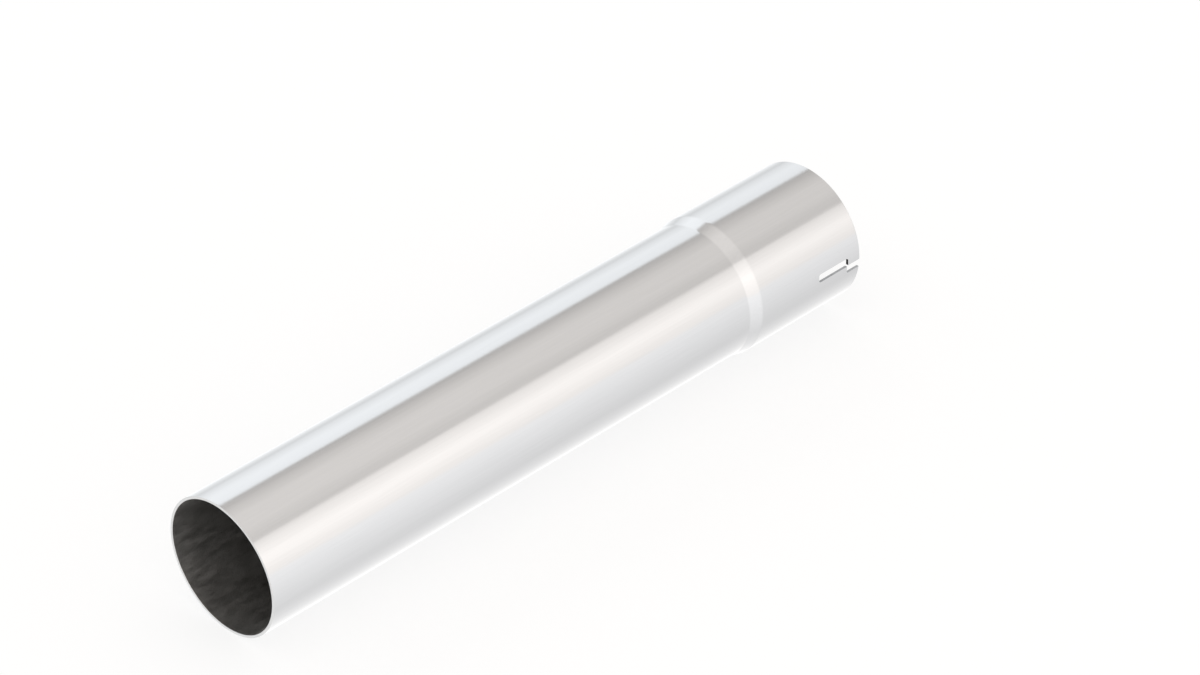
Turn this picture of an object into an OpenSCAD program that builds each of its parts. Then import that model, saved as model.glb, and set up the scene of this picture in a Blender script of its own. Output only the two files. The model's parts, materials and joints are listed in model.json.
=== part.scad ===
// A straight exhaust connection pipe, made from one length of welded stainless tube.
// One end is left plain. The other is widened into a socket that a pipe of the same
// outside diameter slides into, and that socket is slotted so that it can be squeezed shut.
// The pipe lies along X, with the centre of its plain end at the origin. Millimetres.

/* [Pipe] */
// Outside diameter of the plain pipe
pipe_od = 69.85; // [38:0.05:127]
// Thickness of the tube's wall
wall = 1.4; // [0.8:0.1:3]
// Length of the plain pipe, from its cut end to where it starts to widen
plain_len = 303; // [60:1:900]
// Chamfer that is left where the two cut ends are deburred
edge_break = 0.2; // [0.05:0.05:0.3]

/* [Socket] */
// Gap all round between the socket and a pipe that slides into it
slip_gap = 0.12; // [0.05:0.01:0.5]
// Length over which the pipe widens
taper_len = 7.2; // [4:0.1:30]
// Radius of the wall's two bends, one at each end of the widening
bend_r = 5; // [3:0.5:8]
// Length of the straight socket
socket_len = 69; // [50:0.5:150]

/* [Slots] */
// Number of slots, spaced evenly round the socket
slot_count = 2; // [1:1:4]
// Width of a slot
slot_w = 4.5; // [3:0.1:8]
// Length of a slot, from the socket's cut end to the slot's closed end
slot_len = 29; // [20:0.5:45]
// Length of the outer half of a slot, which opens at the cut end
mouth_len = 9; // [4:0.5:14]
// How far the slot's two halves reach past each other along the pipe
neck_len = 0.8; // [0.4:0.1:2]
// How far the slot's two halves reach past each other round the pipe
neck_w = 0.45; // [0.2:0.05:1]
// Radius of a slot's punched corners
slot_corner_r = 1.2; // [0.3:0.1:1.4]

/* [Smoothness] */
// Facets round the pipe in the preview
round_facets = 180; // [60:12:360]
// Stations along each bend of the wall
bend_stations = 6; // [3:1:16]

/* [Hidden] */

pipe_r = pipe_od / 2;
socket_bore_r = pipe_r + slip_gap;
socket_r = socket_bore_r + wall;
pipe_len = plain_len + taper_len + socket_len;

// The wall is drawn from its middle line, which rises by rise at the angle taper_angle.
mid_r = pipe_r - wall / 2;
rise = socket_r - pipe_r;
taper_angle = atan(rise / taper_len);
// From a corner of the middle line to where its bend runs out
bend_tangent = bend_r * tan(taper_angle / 2);

// Stations [place along the pipe, radius of the middle line, slope of the wall there]
function first_bend(a) = [
    plain_len - bend_tangent + bend_r * sin(a),
    mid_r + bend_r * (1 - cos(a)),
    a
];
function second_bend(a) = [
    plain_len + taper_len + bend_tangent - bend_r * sin(a),
    mid_r + rise - bend_r * (1 - cos(a)),
    a
];
bend_steps = [for (i = [0 : bend_stations]) taper_angle * i / bend_stations];
stations = concat(
    [for (a = bend_steps) first_bend(a)],
    [for (i = [bend_stations : -1 : 0]) second_bend(bend_steps[i])]
);

// A point of one face of the wall, side being 1 for the outside and -1 for the bore.
// Points are [radius, place along the pipe], as the revolve takes them.
function face_point(s, side) = [
    s[1] + side * wall / 2 * cos(s[2]),
    s[0] - side * wall / 2 * sin(s[2])
];

// The two cut ends, each a flat face between two small chamfers, from the bore outwards
plain_end = [
    [pipe_r - wall, edge_break],
    [pipe_r - wall + edge_break, 0],
    [pipe_r - edge_break, 0],
    [pipe_r, edge_break]
];
socket_end = [
    [socket_r, pipe_len - edge_break],
    [socket_r - edge_break, pipe_len],
    [socket_bore_r + edge_break, pipe_len],
    [socket_bore_r, pipe_len - edge_break]
];

module tube_wall() {
    outside = [for (s = stations) face_point(s, 1)];
    bore = [for (i = [len(stations) - 1 : -1 : 0]) face_point(stations[i], -1)];
    rotate([0, 90, 0])
        rotate_extrude($fn = round_facets)
            polygon(concat(plain_end, outside, socket_end, bore));
}

// A bar from the origin, rounded at the corners in rounded_at: [0, 0] is the near low one
module punched_bar(length, rounded_at) {
    r = slot_corner_r;
    difference() {
        square([length, slot_w]);
        for (c = rounded_at)
            translate([c[0] * (length - r), c[1] * (slot_w - r)])
                square(r);
    }
    for (c = rounded_at)
        translate([r + c[0] * (length - 2 * r), r + c[1] * (slot_w - 2 * r)])
            circle(r, $fn = 48);
}

// The stepped outline of a slot, laid flat. Its closed half is high and its mouth is low,
// and they meet at a narrow neck, whose two lips meet first as the socket is squeezed.
module slot_outline() {
    closed_len = slot_len - mouth_len + neck_len;
    overrun = 1;
    translate([pipe_len - slot_len, -neck_w / 2])
        punched_bar(closed_len, [[0, 0], [0, 1], [1, 1]]);
    translate([pipe_len - mouth_len, neck_w / 2 - slot_w])
        punched_bar(mouth_len + overrun, [[0, 0]]);
}

module slots() {
    overrun = 1;
    for (i = [0 : slot_count - 1])
        rotate([i * 360 / slot_count, 0, 0])
            rotate([90, 0, 0])
                linear_extrude(socket_r + overrun)
                    slot_outline();
}

module pipe() {
    color("lightgray")
        difference() {
            tube_wall();
            slots();
        }
}

pipe();
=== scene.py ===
"""Dresses the exhaust connection pipe: a stainless tube with a plain end and a slotted socket.

Laid out as an add-on. Run as a script, it sets up the studio with its camera, then builds the pipe.
"""

import json
import math

import bmesh
import bpy
from bpy.props import FloatProperty, FloatVectorProperty, IntProperty, PointerProperty
from bpy.types import Operator, Panel, PropertyGroup
from mathutils import Matrix, Vector


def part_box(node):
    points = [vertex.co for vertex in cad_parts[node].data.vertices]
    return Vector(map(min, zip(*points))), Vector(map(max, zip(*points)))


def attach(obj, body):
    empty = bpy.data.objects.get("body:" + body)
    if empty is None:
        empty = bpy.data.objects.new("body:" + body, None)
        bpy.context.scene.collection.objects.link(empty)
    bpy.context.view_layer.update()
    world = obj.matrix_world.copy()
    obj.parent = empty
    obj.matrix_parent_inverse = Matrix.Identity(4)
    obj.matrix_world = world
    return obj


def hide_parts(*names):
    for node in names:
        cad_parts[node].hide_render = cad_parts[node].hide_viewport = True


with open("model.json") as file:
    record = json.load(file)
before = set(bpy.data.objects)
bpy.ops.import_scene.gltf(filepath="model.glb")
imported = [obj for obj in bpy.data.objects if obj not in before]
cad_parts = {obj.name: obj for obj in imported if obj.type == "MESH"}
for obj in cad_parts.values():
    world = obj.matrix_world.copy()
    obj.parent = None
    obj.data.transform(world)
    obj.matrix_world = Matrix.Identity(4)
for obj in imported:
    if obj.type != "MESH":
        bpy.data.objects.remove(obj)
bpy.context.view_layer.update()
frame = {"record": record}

bl_info = {
    "name": "Exhaust Connection Pipe",
    "version": (1, 0, 0),
    "blender": (4, 5, 0),
    "location": "3D View > Sidebar > Pipe",
    "description": "Builds a slotted stainless exhaust connection pipe and its studio",
    "category": "Object",
}

MM = 0.001
MOUNTS = {mount["name"]: mount["dims"] for mount in frame["record"]["mounts"]}
PIPE_R = MOUNTS["plain_end"]["r_mm"] * MM
SOCKET_BORE_R = MOUNTS["socket"]["r_mm"] * MM
SOCKET_R = MOUNTS["band_seat"]["r_mm"] * MM
PIPE_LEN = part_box("pipe")[1].x

# Faces across a rounded edge, and across a bend or a slot's corner
EDGE_SEGMENTS = 4
BEND_SEGMENTS = 8
# How far a slot's cutter goes past the cut end, starts inside the bore, and reaches from there
CUT_PAST_END = 2 * MM
CUT_INSIDE = 3 * MM
CUT_DEPTH = 6 * MM
# Points of the spun wall nearer than this are one point
MERGE_DISTANCE = 0.001 * MM
# A face looks outwards or into the bore when it faces that way by at least this share
FACING = 0.9
SHARP_ANGLE = math.radians(30)


def linear(hex_colour):
    """The linear RGBA of an sRGB colour written as six hex digits."""
    channels = [int(hex_colour[i:i + 2], 16) / 255 for i in (0, 2, 4)]
    bright = [c / 12.92 if c <= 0.04045 else ((c + 0.055) / 1.055) ** 2.4 for c in channels]
    return (*bright, 1.0)


class PipeSizes(PropertyGroup):
    """Sizes of the tube that the frame's mounts do not hold."""

    taper_start: FloatProperty(
        name="Taper start", description="Where the pipe starts to widen, from its plain end",
        default=303 * MM, unit="LENGTH", precision=4)
    taper_len: FloatProperty(
        name="Taper length", description="Length over which the pipe widens",
        default=7.2 * MM, unit="LENGTH", precision=4)
    bend_r: FloatProperty(
        name="Bend radius", description="Radius of the wall's two bends",
        default=5 * MM, unit="LENGTH", precision=4)
    edge_break: FloatProperty(
        name="Edge break", description="Rounding that deburring leaves on the cut ends",
        default=0.2 * MM, unit="LENGTH", precision=4)
    slot_w: FloatProperty(
        name="Slot width", description="Width of a slot",
        default=4.5 * MM, unit="LENGTH", precision=4)
    slot_len: FloatProperty(
        name="Slot length", description="From the socket's cut end to the slot's closed end",
        default=29 * MM, unit="LENGTH", precision=4)
    mouth_len: FloatProperty(
        name="Mouth length", description="Length of the slot's outer half",
        default=9 * MM, unit="LENGTH", precision=4)
    neck_len: FloatProperty(
        name="Neck length", description="How far the slot's halves pass each other along the pipe",
        default=0.8 * MM, unit="LENGTH", precision=4)
    neck_w: FloatProperty(
        name="Neck width", description="How far the slot's halves pass each other round the pipe",
        default=0.45 * MM, unit="LENGTH", precision=4)
    corner_r: FloatProperty(
        name="Corner radius", description="Radius of the slot's punched corners",
        default=1.2 * MM, unit="LENGTH", precision=4)
    slots: IntProperty(
        name="Slots", description="Number of slots round the socket", default=2, min=1, max=4)
    facets: IntProperty(
        name="Facets", description="Faces round the tube", default=240, min=48, max=480)


class SteelLook(PropertyGroup):
    """Colours and finish of the steel."""

    outside: FloatVectorProperty(
        name="Outside", description="Colour of the bright drawn outside",
        default=linear("CBCCCE"), size=4, subtype="COLOR", min=0, max=1)
    bore: FloatVectorProperty(
        name="Bore", description="Colour of the duller bore",
        default=linear("B4B3B1"), size=4, subtype="COLOR", min=0, max=1)
    cut_end: FloatVectorProperty(
        name="Cut end", description="Colour of the sawn and deburred ends",
        default=linear("DEDDDC"), size=4, subtype="COLOR", min=0, max=1)
    # The slots' walls are darker than the cut ends: partly their own duller torn grey, partly painted
    # shade
    slot_wall_and_painted_shade: FloatVectorProperty(
        name="Slot wall", description="Colour of the slots' punched walls",
        default=linear("ADAEB0"), size=4, subtype="COLOR", min=0, max=1)
    roughness: FloatProperty(
        name="Roughness", description="Roughness of the bright outside",
        default=0.15, min=0, max=1, subtype="FACTOR")
    bore_roughness: FloatProperty(
        name="Bore roughness", description="Roughness of the dull bore",
        default=0.44, min=0, max=1, subtype="FACTOR")
    grain_mm: FloatProperty(
        name="Grain", description="Spacing of the drawn lines round the tube, in millimetres",
        default=0.5, min=0.1, max=3)
    polish_mm: FloatProperty(
        name="Polish", description="Size of the patches of more and less polish, in millimetres",
        default=9, min=1, max=50)
    cloud_mm: FloatProperty(
        name="Cloud", description="Size of the cloudy patches in the bore, in millimetres",
        default=2.5, min=0.5, max=20)
    cut_line_mm: FloatProperty(
        name="Tool lines", description="Spacing of the lines on cut faces, in millimetres",
        default=0.3, min=0.1, max=2)
    line_depth_mm: FloatProperty(
        name="Line depth", description="Depth of the drawn and cut lines, in millimetres",
        default=0.002, min=0, max=0.1, precision=4)


class StudioLook(PropertyGroup):
    """Light and floor."""

    floor: FloatVectorProperty(
        name="Floor", description="Colour of the floor",
        default=linear("FAFAFA"), size=4, subtype="COLOR", min=0, max=1)
    room_light: FloatProperty(
        name="Room light", description="Strength of the even light from all round",
        default=1.0, min=0, max=4)
    key_glow: FloatProperty(
        name="Key glow", description="Brightness of the warm softbox in front",
        default=1.75, min=0, max=4)
    ceiling_glow: FloatProperty(
        name="Ceiling glow", description="Brightness of the warm panel overhead",
        default=1.15, min=0, max=4)
    fill_glow: FloatProperty(
        name="Fill glow", description="Brightness of the cool softbox behind",
        default=1.5, min=0, max=4)
    table_glow: FloatProperty(
        name="Table glow", description="Brightness of the lit table under the pipe",
        default=1.5, min=0, max=4)


def add_node(tree, kind, inputs=(), **settings):
    """Adds a node with its settings. Each input is a value, or another node's output to link."""
    node = tree.nodes.new(kind)
    for name, value in settings.items():
        setattr(node, name, value)
    for name, value in dict(inputs).items():
        socket = node.inputs[name]
        if isinstance(value, bpy.types.NodeSocket):
            tree.links.new(value, socket)
        else:
            socket.default_value = value
    return node


def new_material(name):
    """An empty node material and its tree."""
    material = bpy.data.materials.new(name)
    material.use_nodes = True
    material.node_tree.nodes.clear()
    return material, material.node_tree


def new_piece(name, mesh_maker, *materials):
    """A finished object at the origin, whose mesh is filled by mesh_maker(bmesh)."""
    mesh = bpy.data.meshes.new(name)
    bm = bmesh.new()
    mesh_maker(bm)
    bm.to_mesh(mesh)
    bm.free()
    for material in materials:
        mesh.materials.append(material)
    piece = bpy.data.objects.new(name, mesh)
    bpy.context.scene.collection.objects.link(piece)
    return piece


def wall_outline(bm, sizes):
    """The wall's section as a closed wire, its bends and cut edges rounded by bevels."""
    wall = SOCKET_R - SOCKET_BORE_R
    taper_end = sizes.taper_start + sizes.taper_len
    corners = [
        (0, PIPE_R - wall), (0, PIPE_R),
        (sizes.taper_start, PIPE_R), (taper_end, SOCKET_R),
        (PIPE_LEN, SOCKET_R), (PIPE_LEN, SOCKET_BORE_R),
        (taper_end, SOCKET_BORE_R), (sizes.taper_start, PIPE_R - wall),
    ]
    verts = [bm.verts.new((x, 0, r)) for x, r in corners]
    for i, vert in enumerate(verts):
        bm.edges.new((vert, verts[(i + 1) % len(verts)]))
    half_turn = math.atan2(SOCKET_R - PIPE_R, sizes.taper_len) / 2
    tight = (sizes.bend_r - wall / 2) * math.tan(half_turn)
    wide = (sizes.bend_r + wall / 2) * math.tan(half_turn)
    roundings = [
        ([verts[i] for i in (0, 1, 4, 5)], sizes.edge_break, EDGE_SEGMENTS),
        ([verts[i] for i in (2, 6)], tight, BEND_SEGMENTS),
        ([verts[i] for i in (3, 7)], wide, BEND_SEGMENTS),
    ]
    for group, offset, segments in roundings:
        bmesh.ops.bevel(
            bm, geom=group, offset=offset, offset_type="OFFSET", segments=segments,
            profile=0.5, affect="VERTICES", material=-1)


def tube(bm, sizes):
    """The wall's outline spun round the X axis."""
    wall_outline(bm, sizes)
    bmesh.ops.spin(
        bm, geom=bm.verts[:] + bm.edges[:], cent=(0, 0, 0), axis=(1, 0, 0),
        angle=math.tau, steps=sizes.facets, use_merge=True)
    bmesh.ops.remove_doubles(bm, verts=bm.verts[:], dist=MERGE_DISTANCE)
    bmesh.ops.recalc_face_normals(bm, faces=bm.faces[:])


def slot_cutters(bm, sizes):
    """One prism for each slot, in the slot's stepped outline, through the socket's wall."""
    closed_end = PIPE_LEN - sizes.slot_len
    mouth = PIPE_LEN - sizes.mouth_len
    step = mouth + sizes.neck_len
    past_end = PIPE_LEN + CUT_PAST_END
    lap = sizes.neck_w / 2
    outline = [
        (closed_end, sizes.slot_w - lap), (closed_end, -lap),
        (mouth, -lap), (mouth, lap - sizes.slot_w),
        (past_end, lap - sizes.slot_w), (past_end, lap),
        (step, lap), (step, sizes.slot_w - lap),
    ]
    inside_y = -SOCKET_BORE_R + CUT_INSIDE
    verts = [bm.verts.new((x, inside_y, z)) for x, z in outline]
    bm.faces.new(verts)
    bmesh.ops.bevel(
        bm, geom=[verts[i] for i in (0, 1, 3, 7)], offset=sizes.corner_r, offset_type="OFFSET",
        segments=BEND_SEGMENTS, profile=0.5, affect="VERTICES", material=-1)
    grown = bmesh.ops.extrude_face_region(bm, geom=bm.faces[:])
    moved = [item for item in grown["geom"] if isinstance(item, bmesh.types.BMVert)]
    bmesh.ops.translate(bm, verts=moved, vec=(0, -CUT_DEPTH, 0))
    bmesh.ops.recalc_face_normals(bm, faces=bm.faces[:])
    first = bm.verts[:] + bm.edges[:] + bm.faces[:]
    for i in range(1, sizes.slots):
        copy = bmesh.ops.duplicate(bm, geom=first)
        turned = [item for item in copy["geom"] if isinstance(item, bmesh.types.BMVert)]
        turn = Matrix.Rotation(i * math.tau / sizes.slots, 3, "X")
        bmesh.ops.rotate(bm, verts=turned, cent=(0, 0, 0), matrix=turn)


def cut_slots(piece, sizes):
    """Cuts the slots with a Boolean modifier and keeps its result as the mesh."""
    cutters = new_piece("slot_cutters", lambda bm: slot_cutters(bm, sizes))
    cut = piece.modifiers.new("slots", "BOOLEAN")
    cut.operation = "DIFFERENCE"
    cut.solver = "EXACT"
    cut.object = cutters
    graph = bpy.context.evaluated_depsgraph_get()
    result = bpy.data.meshes.new_from_object(piece.evaluated_get(graph))
    old = piece.data
    piece.modifiers.remove(cut)
    piece.data = result
    result.name = old.name
    bpy.data.meshes.remove(old)
    bpy.data.objects.remove(cutters)


# The tube's materials, in the order in which they are given to it
OUTSIDE, BORE, END, SLOT = 0, 1, 2, 3


def sort_faces(piece, sizes):
    """Gives each face its finish, and marks the edges between them sharp."""
    bm = bmesh.new()
    bm.from_mesh(piece.data)
    for face in bm.faces:
        face.smooth = True
        middle = face.calc_center_median()
        radial = Vector((0, middle.y, middle.z)).normalized()
        facing = face.normal.dot(radial)
        if facing > FACING:
            face.material_index = OUTSIDE
        elif facing < -FACING:
            face.material_index = BORE
        elif sizes.edge_break < middle.x < PIPE_LEN - sizes.edge_break:
            face.material_index = SLOT
        else:
            face.material_index = END
    for edge in bm.edges:
        if len(edge.link_faces) == 2 and edge.calc_face_angle(0) > SHARP_ANGLE:
            edge.smooth = False
    bm.to_mesh(piece.data)
    bm.free()


# The noise stays mostly between these levels, which are spread to 0 and 1
NOISE_SPAN = (0.3, 0.7)
COAT_ROUGHNESS = 0.15


def stretched_noise(tree, spacing_mm, stretch, detail=3.0):
    """Noise in streaks this far apart. Stretch is how much longer a streak is along X, Y and Z."""
    coords = add_node(tree, "ShaderNodeTexCoord")
    scale = 1 / (spacing_mm * MM)
    mapped = add_node(tree, "ShaderNodeMapping", {
        "Vector": coords.outputs["Object"], "Scale": [scale / longer for longer in stretch]})
    noise = add_node(tree, "ShaderNodeTexNoise", {
        "Vector": mapped.outputs["Vector"], "Scale": 1.0, "Detail": detail})
    return noise.outputs["Fac"]


def streaked(tree, noise, colour, depth, roughness, swing):
    """A colour up to depth darker, and a roughness up to swing off, that follow the noise."""
    level = add_node(tree, "ShaderNodeMapRange", {
        "Value": noise, "From Min": NOISE_SPAN[0], "From Max": NOISE_SPAN[1]})
    shade = [channel * (1 - depth) for channel in colour[:3]] + [1.0]
    # A colour Mix node has its colours on inputs 6 and 7 and its result on output 2
    tint = add_node(tree, "ShaderNodeMix", {
        0: level.outputs["Result"], 6: shade, 7: colour[:]}, data_type="RGBA")
    rough = add_node(tree, "ShaderNodeMapRange", {
        "Value": level.outputs["Result"], "To Min": roughness - swing,
        "To Max": roughness + swing})
    return tint.outputs[2], rough.outputs["Result"]


def finish_metal(tree, look, colour, roughness, height, strength, coat=0.0):
    """Ends a metal's tree, with fine relief from the height and a clear coat if one is given."""
    relief = add_node(tree, "ShaderNodeBump", {
        "Height": height, "Strength": strength, "Distance": look.line_depth_mm * MM})
    shader = add_node(tree, "ShaderNodeBsdfPrincipled", {
        "Base Color": colour, "Metallic": 1.0, "Roughness": roughness,
        "Normal": relief.outputs["Normal"], "Coat Weight": coat,
        "Coat Roughness": COAT_ROUGHNESS})
    add_node(tree, "ShaderNodeOutputMaterial", {"Surface": shader.outputs["BSDF"]})


def drawn_stainless(look):
    """Bright drawn 304 stainless tube, with the thin film of oil it is handled in.

    The film is a clear coat: it lifts the edges of the tube towards white, as in the photograph.
    The drawing die leaves fine lines along the tube, about 0.05 mm apart. They are too fine to
    show, so they are drawn as far apart as the look's grain says. They break up the reflections
    a little, and slow stretches of more and less polish lie over them.
    """
    material, tree = new_material("bright_drawn_stainless")
    swing = 0.012
    grain = stretched_noise(tree, look.grain_mm, (60, 1, 1))
    colour, fine = streaked(tree, grain, look.outside, depth=0.03, roughness=look.roughness, swing=swing)
    polish = stretched_noise(tree, look.polish_mm, (8, 1, 1), detail=1.0)
    slow = add_node(tree, "ShaderNodeMapRange", {
        "Value": polish, "From Min": NOISE_SPAN[0], "From Max": NOISE_SPAN[1],
        "To Min": -swing, "To Max": swing})
    roughness = add_node(tree, "ShaderNodeMath", {
        0: fine, 1: slow.outputs["Result"]}, operation="ADD")
    finish_metal(tree, look, colour, roughness.outputs[0], grain, strength=0.3, coat=1.0)
    return material


def dull_stainless(look):
    """The bore as annealed: a dull grey skin, which scatters light instead of mirroring it.

    The plug that the tube is drawn over leaves it lines along the bore and cloudy patches
    2 or 3 mm across.
    """
    material, tree = new_material("dull_annealed_stainless")
    cloud = stretched_noise(tree, look.cloud_mm, (4, 1, 1))
    colour, roughness = streaked(
        tree, cloud, look.bore, depth=0.1, roughness=look.bore_roughness, swing=0.06)
    finish_metal(tree, look, colour, roughness, cloud, strength=0.08)
    return material


def cut_stainless(name, look, bare, depth):
    """Bare satin stainless with fine tool lines along Y, darker by the given depth in the lines."""
    material, tree = new_material(name)
    strokes = stretched_noise(tree, look.cut_line_mm, (1, 20, 1))
    colour, roughness = streaked(tree, strokes, bare, depth, roughness=0.35, swing=0.06)
    finish_metal(tree, look, colour, roughness, strokes, strength=0.5)
    return material


def sawn_stainless(look):
    """The ends as sawn and deburred: fresh metal, the brightest of the pipe, in fine lines.

    The saw leaves its lines about 0.1 mm apart. They are drawn at the look's spacing, to show.
    """
    return cut_stainless("sawn_stainless", look, look.cut_end, depth=0.16)


def punched_stainless_and_painted_shade(look):
    """The slots' walls: the punch shears and tears them duller, and their darker grey is partly painted
    shade.

    Its lines run through the wall, as fine as the saw's, and are drawn as coarse.
    """
    # The slot walls' darker colour is partly painted shade
    return cut_stainless("punched_stainless_and_painted_shade", look, look.slot_wall_and_painted_shade, depth=0.08)


class PIPE_OT_tube(Operator):
    """Builds the tube with its socket and slots, in place of the plain solid"""

    bl_idname = "pipe.tube"
    bl_label = "Build the tube"

    def execute(self, context):
        sizes = context.scene.pipe_sizes
        look = context.scene.steel_look
        piece = new_piece(
            "pipe_tube", lambda bm: tube(bm, sizes),
            drawn_stainless(look), dull_stainless(look), sawn_stainless(look),
            punched_stainless_and_painted_shade(look))
        cut_slots(piece, sizes)
        sort_faces(piece, sizes)
        shading = piece.modifiers.new("even_shading", "WEIGHTED_NORMAL")
        shading.mode = "FACE_AREA"
        shading.weight = 100
        shading.keep_sharp = True
        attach(piece, "root")
        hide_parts("pipe")
        return {"FINISHED"}


# The camera of the photograph, in millimetres from the centre of the plain end. Its direction,
# distance and lens were fitted to the pipe's edges in the photograph
CAMERA_PLACE = Vector((-899.8, -1139.2, 1149.6))
CAMERA_AZIMUTH = math.radians(-44.92)
CAMERA_ELEVATION = math.radians(35.40)
CAMERA_LENS = 124.95
SENSOR_WIDTH = 36


def add_camera():
    """The photograph's camera: level, looking along the given azimuth and down by its elevation."""
    data = bpy.data.cameras.new("camera")
    data.sensor_width = SENSOR_WIDTH
    data.lens = CAMERA_LENS
    data.clip_start = 0.01
    data.clip_end = 100
    camera = bpy.data.objects.new("camera", data)
    bpy.context.scene.collection.objects.link(camera)
    back = Vector((
        math.sin(CAMERA_AZIMUTH) * math.cos(CAMERA_ELEVATION),
        -math.cos(CAMERA_AZIMUTH) * math.cos(CAMERA_ELEVATION),
        math.sin(CAMERA_ELEVATION)))
    camera.rotation_mode = "QUATERNION"
    camera.rotation_quaternion = (-back).to_track_quat("-Z", "Y")
    camera.location = CAMERA_PLACE * MM
    bpy.context.scene.camera = camera


def add_world(look):
    """Even white light from all round, which is the background too."""
    world = bpy.data.worlds.new("studio")
    bpy.context.scene.world = world
    world.use_nodes = True
    tree = world.node_tree
    tree.nodes.clear()
    light = add_node(tree, "ShaderNodeBackground", {
        "Color": (1, 1, 1, 1), "Strength": look.room_light})
    add_node(tree, "ShaderNodeOutputWorld", {"Surface": light.outputs[0]})


# How far the floor shows as plain white to the camera. The rest of it shows the pipe's shade.
CAMERA_WHITE = 0.8
FLOOR_REACH = 20


def add_floor(look, sizes):
    """A wide white floor. Reflections look through it, as through a lit table, to what lies under."""
    material, tree = new_material("white_floor")
    path = add_node(tree, "ShaderNodeLightPath")
    seen = add_node(tree, "ShaderNodeMath", {
        0: path.outputs["Is Camera Ray"], 1: CAMERA_WHITE}, operation="MULTIPLY")
    mirrored = add_node(tree, "ShaderNodeMath", {
        0: path.outputs["Is Glossy Ray"], 1: path.outputs["Is Transmission Ray"]},
        operation="MAXIMUM")
    paint = add_node(tree, "ShaderNodeBsdfDiffuse", {"Color": look.floor})
    white = add_node(tree, "ShaderNodeEmission", {"Color": (1, 1, 1, 1), "Strength": 1.0})
    surface = add_node(tree, "ShaderNodeMixShader", {
        0: seen.outputs[0], 1: paint.outputs[0], 2: white.outputs[0]})
    opening = add_node(tree, "ShaderNodeBsdfTransparent")
    whole = add_node(tree, "ShaderNodeMixShader", {
        0: mirrored.outputs[0], 1: surface.outputs[0], 2: opening.outputs[0]})
    add_node(tree, "ShaderNodeOutputMaterial", {"Surface": whole.outputs[0]})
    # The pipe lies on the edge of its plain end and on the start of its wider socket
    slope = math.atan2(SOCKET_R - PIPE_R, sizes.taper_start + sizes.taper_len)

    def plane(bm):
        bmesh.ops.create_grid(bm, x_segments=1, y_segments=1, size=FLOOR_REACH)
        bmesh.ops.rotate(
            bm, verts=bm.verts[:], cent=(0, 0, 0), matrix=Matrix.Rotation(slope, 3, "Y"))
        bmesh.ops.translate(bm, verts=bm.verts[:], vec=(0, 0, -PIPE_R))

    new_piece("floor", plane, material)


# The light panels are long arcs round the pipe's axis, this far from it and between these ends
PANEL_DISTANCE = 8.0
PANEL_ENDS = (-40.0, 30.0)


def round_pipe(x, degrees):
    """A place on the arcs, by an angle that is 0 behind the pipe, 90 overhead and 180 in front."""
    turn = math.radians(degrees)
    return Vector((x, PANEL_DISTANCE * math.cos(turn), PANEL_DISTANCE * math.sin(turn)))


def between(ends, share):
    """The value between two ends, for a share from -1 at the first to 1 at the last."""
    return ends[0] + (ends[1] - ends[0]) * (share + 1) / 2


# A panel is evenly bright along its middle, in metres along X, and fades to this share at its ends
EVEN_PART = (0.0, 2.5)
END_SHARE = 0.2
# Faces of a panel along X and across
PANEL_STEPS = (70, 8)


def set_stops(ramp, stops):
    """Gives a colour ramp grey stops, each a place from 0 to 1 and a brightness."""
    marks = ramp.color_ramp.elements
    for place, _ in stops[1:-1]:
        marks.new(place)
    for mark, (place, share) in zip(marks, stops):
        mark.position = place
        mark.color = (share, share, share, 1)


def add_panel(name, tint, glow, edges, shares):
    """A softbox between two angles, with its brightness at its first edge, middle and last edge."""
    material, tree = new_material(name)
    # The steel mirrors the panels without their being sampled as lamps, which would add noise
    material.cycles.emission_sampling = "NONE"
    coords = add_node(tree, "ShaderNodeTexCoord")
    place = add_node(tree, "ShaderNodeSeparateXYZ", {"Vector": coords.outputs["UV"]})
    along = add_node(tree, "ShaderNodeValToRGB", {"Fac": place.outputs["X"]})
    reach = PANEL_ENDS[1] - PANEL_ENDS[0]
    even = [(x - PANEL_ENDS[0]) / reach for x in EVEN_PART]
    set_stops(along, [(0, END_SHARE), (even[0], 1), (even[1], 1), (1, END_SHARE)])
    across = add_node(tree, "ShaderNodeValToRGB", {"Fac": place.outputs["Y"]})
    set_stops(across, list(zip((0, 0.5, 1), shares)))
    soft = add_node(tree, "ShaderNodeMath", {
        0: along.outputs["Color"], 1: across.outputs["Color"]}, operation="MULTIPLY")
    strength = add_node(tree, "ShaderNodeMath", {0: soft.outputs[0], 1: glow}, operation="MULTIPLY")
    light = add_node(tree, "ShaderNodeEmission", {
        "Color": linear(tint), "Strength": strength.outputs[0]})
    add_node(tree, "ShaderNodeOutputMaterial", {"Surface": light.outputs[0]})

    def arc(bm):
        bm.loops.layers.uv.new("across")
        bmesh.ops.create_grid(
            bm, x_segments=PANEL_STEPS[0], y_segments=PANEL_STEPS[1], size=1, calc_uvs=True)
        for vert in bm.verts:
            vert.co = round_pipe(between(PANEL_ENDS, vert.co.x), between(edges, vert.co.y))

    panel = new_piece(name, arc, material)
    panel.visible_camera = False


# The tints of the light
WARM = "FFFAF5"
NEUTRAL = "FDFCFB"
COOL = "FAFCFD"
# The angles where one panel ends and the next starts
BEHIND = 0
FILL_TOP = 48
CEILING_BACK = 80
KEY_TOP = 127
KEY_FOOT = 180
UNDER_BACK = -55


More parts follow.
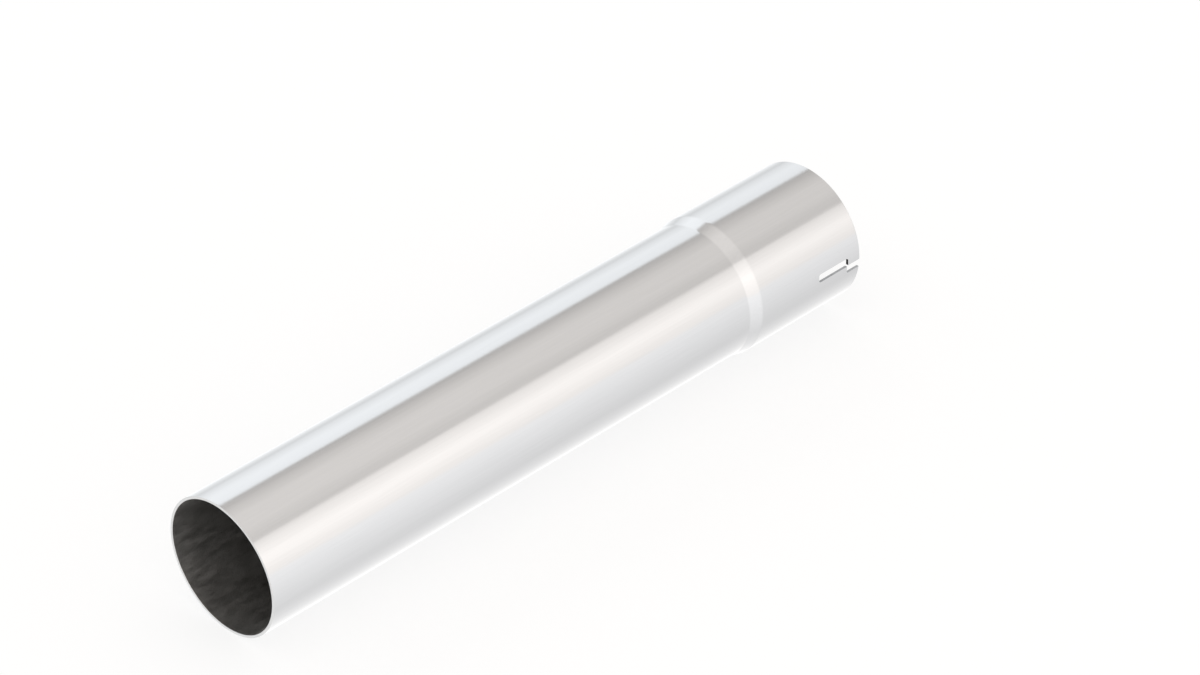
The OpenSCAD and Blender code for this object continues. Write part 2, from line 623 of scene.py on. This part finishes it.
class PIPE_OT_studio(Operator):
    """Sets up the camera, the white floor, the even light and the light panels"""

    bl_idname = "pipe.studio"
    bl_label = "Set up the studio"

    def execute(self, context):
        look = context.scene.studio_look
        add_camera()
        add_world(look)
        add_floor(look, context.scene.pipe_sizes)
        add_panel(
            "key_softbox", WARM, look.key_glow, (KEY_TOP, KEY_FOOT), (0.8, 1, 0.85))
        add_panel(
            "ceiling", WARM, look.ceiling_glow, (KEY_TOP, CEILING_BACK), (0.85, 1, 1))
        add_panel(
            "ceiling_back", WARM, look.ceiling_glow, (CEILING_BACK, FILL_TOP), (1, 0.85, 0.6))
        add_panel(
            "fill_softbox", COOL, look.fill_glow, (FILL_TOP, BEHIND), (1, 1, 0.75))
        add_panel(
            "table", NEUTRAL, look.table_glow, (KEY_FOOT, 360 + UNDER_BACK), (1, 0.75, 0.9))
        add_panel(
            "table_back", COOL, look.table_glow, (BEHIND, UNDER_BACK), (0.65, 0.8, 0.85))
        context.scene.view_settings.view_transform = "Standard"
        return {"FINISHED"}


class PIPE_PT_panel(Panel):
    """Lists the steps that build the pipe"""

    bl_idname = "PIPE_PT_panel"
    bl_label = "Exhaust Connection Pipe"
    bl_space_type = "VIEW_3D"
    bl_region_type = "UI"
    bl_category = "Pipe"

    def draw(self, context):
        layout = self.layout
        for group in (context.scene.pipe_sizes, context.scene.steel_look, context.scene.studio_look):
            box = layout.box()
            for name in group.__annotations__:
                box.prop(group, name)
        for step in STEPS:
            layout.operator(step.bl_idname)


GROUPS = {"pipe_sizes": PipeSizes, "steel_look": SteelLook, "studio_look": StudioLook}
STEPS = (PIPE_OT_studio, PIPE_OT_tube)


def register():
    for kind in (*GROUPS.values(), *STEPS, PIPE_PT_panel):
        bpy.utils.register_class(kind)
    for name, group in GROUPS.items():
        setattr(bpy.types.Scene, name, PointerProperty(type=group))


def unregister():
    for name in GROUPS:
        delattr(bpy.types.Scene, name)
    for kind in reversed((*GROUPS.values(), *STEPS, PIPE_PT_panel)):
        bpy.utils.unregister_class(kind)


def main():
    register()
    bpy.ops.pipe.studio()
    bpy.ops.pipe.tube()


if __name__ == "__main__":
    main()
